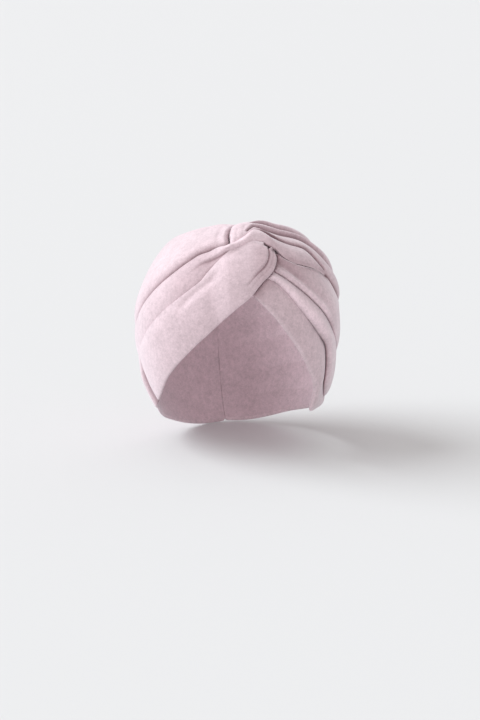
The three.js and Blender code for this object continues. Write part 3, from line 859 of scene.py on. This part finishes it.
def cloth_rows(pleats, turns, heights, bounds_of, drop_at, split_at=-BACK):
    """Places of the top and the underside, with the nap and its painted light and shade, row by row, and
    each row's pleat.
    """
    columns = [[], [], [], [], []]
    owner = []

    def add(order, *values):
        for column, value in zip(columns, values):
            column.append(np.broadcast_to(value, turns.shape))
        owner.append(order)

    for order, form in enumerate(pleats):
        start, end = bounds_of(form, turns)

        def at(s):
            rise = mix(start, end, s)
            inner, outer, nap_and_painted_light = heights(turns, rise, form, np.full(turns.shape, s))
            drop = np.minimum(drop_at(form, turns), DROP_MOST * (outer - inner))
            return rise, inner, outer - drop, nap_and_painted_light

        if order == 0:
            rise, inner, outer, nap_and_painted_light = at(0.0)
            for k, (r, h, _) in enumerate(fold_over(rise, inner, outer)):
                under = at(INSET * k / ROLL_ROWS)
                add(order, r, h, under[0], under[1], nap_and_painted_light)
        for s in spaced(form["rows"]):
            rise, inner, outer, nap_and_painted_light = at(s)
            under = at(INSET + (1 - 2 * INSET) * s)
            add(order, rise, outer, under[0], under[1], nap_and_painted_light)
        rise, inner, outer, nap_and_painted_light = at(1.0)
        hem, below, next_nap_and_painted_light = True, inner, nap_and_painted_light
        if order + 1 < len(pleats):
            following = pleats[order + 1]
            next_start = bounds_of(following, turns)[0]
            hem = (following["from"] == "slit") & (turns < split_at)
            _, next_outer, next_nap_and_painted_light = heights(turns, next_start, following, np.zeros(turns.shape))
            below = np.where(hem, inner, next_outer)
            next_nap_and_painted_light = np.where(hem, nap_and_painted_light, next_nap_and_painted_light)
        for k, (r, h, shade) in enumerate(fold_over(rise, outer, below)):
            under = at(1 - INSET + INSET * (k + 1) / ROLL_ROWS)
            # Painted shade, deepest at the bottom of each fold.
            dark = np.where(hem, 1, 1 - PAINTED_SHADE_STRENGTH * shade)
            fold_nap_and_painted_light = dark * mix(nap_and_painted_light, next_nap_and_painted_light, (k + 0.5) / ROLL_ROWS)
            add(order, r, h, under[0], np.minimum(under[1], h - 0.5 * THINNEST), fold_nap_and_painted_light)
    return [np.array(column) for column in columns], np.array(owner)


print("each fold is rounded by", ROLL_ROWS, "rows of radius", ROLL_RADIUS, "mm")

# %% A closed wall from rows


def cloth_wall(name, sign, turns, rows, present):
    """A mesh with a top, an underside and closed sides round the cells that are present."""
    rise_top, high_top, rise_under, high_under, nap_and_painted_light = rows
    top = place(sign * turns, rise_top, high_top)
    under = place(sign * turns, rise_under, high_under)
    count = top.shape[0] * top.shape[1]
    number = np.arange(count).reshape(top.shape[:2])
    faces = []

    def quads(a, b, c, d, keep, flip):
        order = (d, c, b, a) if flip else (a, b, c, d)
        faces.append(np.stack([v[keep] for v in order], axis=-1))

    a, b, c, d = number[:-1, :-1], number[1:, :-1], number[1:, 1:], number[:-1, 1:]
    flip = sign < 0
    quads(a, b, c, d, present, flip)
    quads(a + count, b + count, c + count, d + count, present, not flip)
    padded = np.pad(present, 1)
    for (p, q), beside in {
        (0, 1): padded[1:-1, :-2], (1, 2): padded[2:, 1:-1],
        (2, 3): padded[1:-1, 2:], (3, 0): padded[:-2, 1:-1],
    }.items():
        corner = (a, b, c, d)
        open_side = present & ~beside
        quads(corner[q], corner[p], corner[p] + count, corner[q] + count, open_side, flip)
    points = np.concatenate([top.reshape(-1, 3), under.reshape(-1, 3)]) / 1000
    used, faces = np.unique(np.concatenate(faces), return_inverse=True)
    mesh = bpy.data.meshes.new(name)
    mesh.from_pydata(points[used].tolist(), [], faces.reshape(-1, 4).tolist())
    mesh.shade_smooth()
    # The top carries the nap with painted light and shade; the underside is plain.
    nap_and_painted_light_values = np.concatenate([nap_and_painted_light.ravel(), np.ones(count)])[used]
    mesh.attributes.new("nap_and_painted_light", "FLOAT", "POINT").data.foreach_set("value", nap_and_painted_light_values)
    piece = bpy.data.objects.new(name, mesh)
    bpy.context.scene.collection.objects.link(piece)
    return piece


SEAM_GAP = 0.03
END_RADIUS = 1.5


def cuts(*spans):
    """Turns of the grid's columns from the back on; each span has its own step."""
    turns = [np.array([BACK - SEAM_GAP])]
    for start, end, step in spans:
        steps = int(round(abs(start - end) / step))
        turns.append(np.linspace(start, end, steps + 1)[1:])
    return np.concatenate(turns)


def rounded_end(gap):
    """How much lower the top lies near an end, so that the end is round."""
    short = np.clip(END_RADIUS - gap * MM_PER_DEGREE, 0, END_RADIUS)
    return END_RADIUS - np.sqrt(END_RADIUS ** 2 - short ** 2)


print("the seam at the back is", SEAM_GAP, "degrees open on each side")

# %% [markdown]
# ## Cut the halves out
#
# The left half's rows stop at different places: the lower panel at the tongue, the strip at
# its tip, and the upper prong under the right half. A mask says which cells of the grid are
# cloth; the wall closes itself round whatever the mask leaves. Cutting a finished mesh would
# give ragged ends, and the mask keeps every end on a row of points.

# %% Make the left half
left_turns = cuts(
    (BACK, 177, 0.3), (177, 115, 2), (115, 92, 0.8), (92, 50, 1.25), (50, 16, 0.7),
    (16, SLIT_END, 0.4), (SLIT_END, -8, 0.35), (-8, TONGUE_END, 0.2), (TONGUE_END, -STRIP_TIP, 0.7))
SLIT_LIFT, SLIT_CLEAR, SLIT_OPENS = 0.1, 0.3, (13.7, 12.9)
UPPER_PRONG_END = 0.5
LEFT_ENDS = {"low": TONGUE_END, "middle": -STRIP_TIP, "slit": UPPER_PRONG_END}


def slit_top(turn):
    """Low edge of the upper prong, which keeps clear of the right half in the slit."""
    slit = along(LEFT, "slit", turn) + SLIT_LIFT
    across = np.maximum(-turn, RIGHT_END)
    clear = mix(along(RIGHT, "slit", across), along(RIGHT, "fourth", across), SLIT_CLEAR)
    opened = mix(slit, np.maximum(slit, clear), ease(turn, *SLIT_OPENS))
    return np.where(turn >= SLIT_END, slit, opened)


def left_bounds(form, turn):
    start = slit_top(turn) if form["from"] == "slit" else along(LEFT, form["from"], turn)
    return start, along(LEFT, form["to"], turn)


def left_drop(form, turn):
    return rounded_end(turn - LEFT_ENDS[form["from"]]) + rounded_end(BACK - turn)


left_rows, left_owner = cloth_rows(
    LEFT_PLEATS, left_turns, left_heights, left_bounds, left_drop, SLIT_END)
ends = np.array([LEFT_ENDS[form["from"]] for form in LEFT_PLEATS])
middle_of_cell = 0.5 * (left_turns[:-1] + left_turns[1:])
left_present = middle_of_cell[None, :] > ends[left_owner[:-1]][:, None]
slot = (left_owner[:-1] == 1) & (left_owner[1:] == 2)
left_present[slot] &= middle_of_cell > SLIT_END
left = cloth_wall("left_velvet", -1, left_turns, left_rows, left_present)
print("left half:", len(left.data.polygons), "faces")

# %% Make the right half
right_turns = cuts(
    (BACK, 177, 0.3), (177, 100, 2), (100, 50, 1.25), (50, 16, 0.7), (16, RIGHT_END, 0.45))


def right_bounds(form, turn):
    return along(RIGHT, form["from"], turn), along(RIGHT, form["to"], turn)


def right_drop(form, turn):
    return rounded_end(turn - RIGHT_END) + rounded_end(BACK - turn)


right_rows, right_owner = cloth_rows(
    RIGHT_PLEATS, right_turns, right_heights, right_bounds, right_drop)
right_present = np.ones((len(right_owner) - 1, len(right_turns) - 1), bool)
right = cloth_wall("right_velvet", 1, right_turns, right_rows, right_present)
print("right half:", len(right.data.polygons), "faces")

# %% [markdown]
# ## Velvet
#
# Velvet is a cloth of short upright fibres. It scatters light softly, glows a little where
# it is seen at a low angle, and shows cloudy patches where the pile has been brushed one
# way or the other. The shader's sheen gives the glow; noise at three sizes gives the
# clouds, small brushed specks and the fine pile. An image of velvet would need an unwrapped
# mesh and would stretch in the folds; the noise follows the object itself, so it stays put.

# %% Pile, specks and clouds
CLOUD_SIZE, CLOUD_DETAIL, CLOUD_ROUGHNESS = 70, 6, 0.66
SPECK_SIZE, SPECK_DETAIL = 320, 2
PILE_SIZE, PILE_DETAIL = 800, 2
velvet = bpy.data.materials.new("velvet")
velvet.use_nodes = True
nodes, links = velvet.node_tree.nodes, velvet.node_tree.links
shader = nodes["Principled BSDF"]
where = nodes.new("ShaderNodeTexCoord")


def noise(size, detail, roughness=0.5):
    node = nodes.new("ShaderNodeTexNoise")
    node.inputs["Scale"].default_value = size
    node.inputs["Detail"].default_value = detail
    node.inputs["Roughness"].default_value = roughness
    links.new(where.outputs["Object"], node.inputs["Vector"])
    return node.outputs["Fac"]


clouds = noise(CLOUD_SIZE, CLOUD_DETAIL, CLOUD_ROUGHNESS)
pile = noise(PILE_SIZE, PILE_DETAIL)
specks = noise(SPECK_SIZE, SPECK_DETAIL)
print("noise sizes:", CLOUD_SIZE, SPECK_SIZE, PILE_SIZE)

# %% Colour of the nap
VELVET_DEEP = (0.565, 0.443, 0.478, 1)
VELVET_PALE = (0.748, 0.587, 0.634, 1)
NAP_RANGE = (0.38, 0.62)


def sum_of(first, second):
    node = nodes.new("ShaderNodeMath")
    links.new(first, node.inputs[0])
    links.new(second, node.inputs[1])
    return node.outputs[0]


def part_of(whole, share):
    node = nodes.new("ShaderNodeMath")
    node.operation = "DIVIDE"
    node.inputs[1].default_value = share
    links.new(whole, node.inputs[0])
    return node.outputs[0]


tint = nodes.new("ShaderNodeValToRGB")
for stop, position, colour in zip(tint.color_ramp.elements, NAP_RANGE, (VELVET_DEEP, VELVET_PALE)):
    stop.position = position
    stop.color = colour
NOISE_COUNT = 3
all_noise = sum_of(sum_of(pile, specks), clouds)
links.new(part_of(all_noise, NOISE_COUNT), tint.inputs["Fac"])
print("nap runs from", VELVET_DEEP[:3], "to", VELVET_PALE[:3])

# %% [markdown]
# ## Painted light and shade of the folds
#
# The nap's brightness with painted light and shade, stored on the mesh, now colours the
# velvet. A ramp turns it into a tint, a little browner where the painted shade is deep and
# brighter where a highlight is painted, which multiplies the colour of the nap. Plain
# darkening would look grey; real pile keeps its colour even in deep shade.

# %% Painted light and shade from the mesh
# Tints for painted shade, browner when deep, and for painted highlights above 1.
PAINTED_LIGHT_FULL = 1.6
PAINTED_LIGHT_TINTS = [
    (0.2, (0.24, 0.15, 0.17)), (0.4, (0.45, 0.355, 0.37)), (0.7, (0.735, 0.67, 0.68)),
    (1.0, (1.0, 1.0, 1.0)), (1.28, (1.27, 1.28, 1.285)), (1.58, (1.56, 1.575, 1.58)),
]
# The mesh attribute holds the nap's brightness with painted shade and painted highlights.
nap_and_painted_light = nodes.new("ShaderNodeAttribute")
nap_and_painted_light.attribute_name = "nap_and_painted_light"
depth = nodes.new("ShaderNodeValToRGB")
for level, colour in PAINTED_LIGHT_TINTS:
    stop = depth.color_ramp.elements.new(level / PAINTED_LIGHT_FULL)
    stop.color = (*colour, 1)
depth.color_ramp.elements.remove(depth.color_ramp.elements[-1])
depth.color_ramp.elements[0].color = (0, 0, 0, 1)
links.new(part_of(nap_and_painted_light.outputs["Fac"], PAINTED_LIGHT_FULL), depth.inputs["Fac"])
painted_light_mix = nodes.new("ShaderNodeMix")
painted_light_mix.data_type = "RGBA"
painted_light_mix.blend_type = "MULTIPLY"
painted_light_mix.inputs["Factor"].default_value = 1
links.new(tint.outputs["Color"], painted_light_mix.inputs["A"])
links.new(depth.outputs["Color"], painted_light_mix.inputs["B"])
links.new(painted_light_mix.outputs["Result"], shader.inputs["Base Color"])
print("tone ramp:", len(depth.color_ramp.elements), "stops")

# %% Finish of the velvet
ROUGH_LEAST, ROUGH_MOST = 0.8, 1.0
PILE_BUMP, PILE_HEIGHT = 0.35, 0.0004
SPECULAR = 0.15
SHEEN, SHEEN_ROUGHNESS, SHEEN_TINT = 0.7, 0.5, (0.97, 0.96, 1, 1)
rough = nodes.new("ShaderNodeMapRange")
rough.inputs["To Min"].default_value = ROUGH_LEAST
rough.inputs["To Max"].default_value = ROUGH_MOST
links.new(clouds, rough.inputs["Value"])
links.new(rough.outputs["Result"], shader.inputs["Roughness"])
pile_relief = nodes.new("ShaderNodeBump")
pile_relief.inputs["Strength"].default_value = PILE_BUMP
pile_relief.inputs["Distance"].default_value = PILE_HEIGHT
links.new(pile, pile_relief.inputs["Height"])
links.new(pile_relief.outputs["Normal"], shader.inputs["Normal"])
shader.inputs["Specular IOR Level"].default_value = SPECULAR
shader.inputs["Sheen Weight"].default_value = SHEEN
shader.inputs["Sheen Roughness"].default_value = SHEEN_ROUGHNESS
shader.inputs["Sheen Tint"].default_value = SHEEN_TINT
print("velvet nodes:", len(nodes))

# %% [markdown]
# ## Put the cloth in place of the plain solids
#
# Each cloth half stands for its plain solid, which is hidden, takes the velvet and moves
# with the one body there is.

# %% Dress both halves


LEFT_LENGTH = 0.34
RIGHT_LENGTH = 0.29
for piece, node, length in ((left, "left_band", LEFT_LENGTH), (right, "right_band", RIGHT_LENGTH)):
    piece.data.materials.append(velvet)
    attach(piece, "root")
    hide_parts(node)

# %% [markdown]
# ## Floor, light and camera
#
# A pale floor and a pale surround keep the setting plain. One wide light stands high
# to the left and a little behind, because the cloth is brightest there and its folds are
# dark below; the surround fills the other side.

# %% Floor
FLOOR_LEVEL = -0.108
FLOOR_HALF = 200.0
FLOOR_COLOUR, FLOOR_ROUGHNESS = (0.66, 0.665, 0.67, 1), 0.9
floor_mesh = bpy.data.meshes.new("floor")
corners = [(x * FLOOR_HALF, y * FLOOR_HALF, FLOOR_LEVEL) for x, y in ((-1, -1), (1, -1), (1, 1), (-1, 1))]
floor_mesh.from_pydata(corners, [], [(0, 1, 2, 3)])
floor = bpy.data.objects.new("floor", floor_mesh)
bpy.context.scene.collection.objects.link(floor)
paint = bpy.data.materials.new("pale_floor")
paint.use_nodes = True
paint_shader = paint.node_tree.nodes["Principled BSDF"]
paint_shader.inputs["Base Color"].default_value = FLOOR_COLOUR
paint_shader.inputs["Roughness"].default_value = FLOOR_ROUGHNESS
floor_mesh.materials.append(paint)
print("floor at", FLOOR_LEVEL)

# %% Light
SURROUND_COLOUR, SURROUND_STRENGTH = (1.0, 0.97, 0.965, 1), 0.78
LIGHT_FROM, LIGHT_SOFTNESS, LIGHT_STRENGTH = (-0.76, 0.3, 0.58), 50, 2.9
LIGHT_TINT = (0.93, 0.975, 1.0)
bpy.context.scene.view_settings.view_transform = "Standard"
surround = bpy.data.worlds.new("surround")
bpy.context.scene.world = surround
surround.use_nodes = True
background = surround.node_tree.nodes["Background"]
background.inputs["Color"].default_value = SURROUND_COLOUR
background.inputs["Strength"].default_value = SURROUND_STRENGTH


def soft_sun(name, comes_from, softness, strength, tint):
    lamp = bpy.data.lights.new(name, "SUN")
    lamp.angle = np.radians(softness)
    lamp.energy = strength
    lamp.color = tint
    holder = bpy.data.objects.new(name, lamp)
    holder.rotation_mode = "QUATERNION"
    holder.rotation_quaternion = (-Vector(comes_from)).to_track_quat("-Z", "Y")
    bpy.context.scene.collection.objects.link(holder)
    print(name, "comes from", comes_from, "strength", strength)


soft_sun("left_light", LIGHT_FROM, LIGHT_SOFTNESS, LIGHT_STRENGTH, LIGHT_TINT)

# %% Camera
VIEW_TURN = np.radians(-12)
VIEW_DROP = np.radians(12.5)
VIEW_DISTANCE = 1.35
AIM_RIGHT, AIM_UP = 0.00163, -0.04075
LENS, SENSOR = 82.82, 36
level = np.cos(VIEW_DROP)
look = Vector((-np.sin(VIEW_TURN) * level, np.cos(VIEW_TURN) * level, -np.sin(VIEW_DROP)))
right_hand = Vector((np.cos(VIEW_TURN), np.sin(VIEW_TURN), 0))
upward = right_hand.cross(look)
lens = bpy.data.cameras.new("view")
lens.lens, lens.sensor_width = LENS, SENSOR
camera = bpy.data.objects.new("view", lens)
eye = right_hand * AIM_RIGHT + upward * AIM_UP - look * VIEW_DISTANCE
facing = Matrix((right_hand, upward, -look)).transposed().to_4x4()
camera.matrix_world = Matrix.Translation(eye) @ facing
bpy.context.scene.collection.objects.link(camera)
bpy.context.scene.camera = camera
print("camera at", [round(x, 4) for x in camera.matrix_world.translation])

# %% [markdown]
# ## Close the lesson
#
# The last cell updates the scene.

# %% Finish
bpy.context.view_layer.update()
